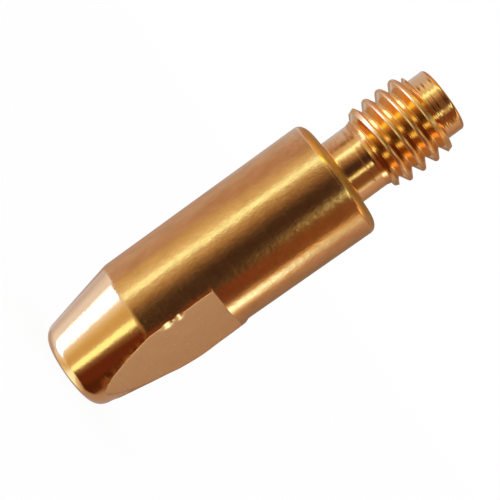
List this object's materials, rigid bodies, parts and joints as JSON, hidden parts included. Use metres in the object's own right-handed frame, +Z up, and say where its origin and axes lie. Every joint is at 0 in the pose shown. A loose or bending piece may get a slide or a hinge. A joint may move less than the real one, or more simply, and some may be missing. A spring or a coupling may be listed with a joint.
{
  "type": "welding contact tip",
  "caption": "Copper welding contact tip: tapered nose with a wire bore, barrel with pressed wrench flats, neck and right-hand threaded shank.",
  "frame": {"origin": "where the barrel's axis meets the plane of the nose face that the tip stands on", "axes": "+Z up the barrel's axis from nose to threaded end, -Y out of the wrench flat that the picture shows, +X out of the side that the press swelled"},
  "size_m": [0.0083, 0.008, 0.0285],
  "materials": {
    "copper": "bright turned copper, satin on the pressed flats"
  },
  "bodies": {
    "root": {"contact_tip": "copper"}
  },
  "joints": []
}
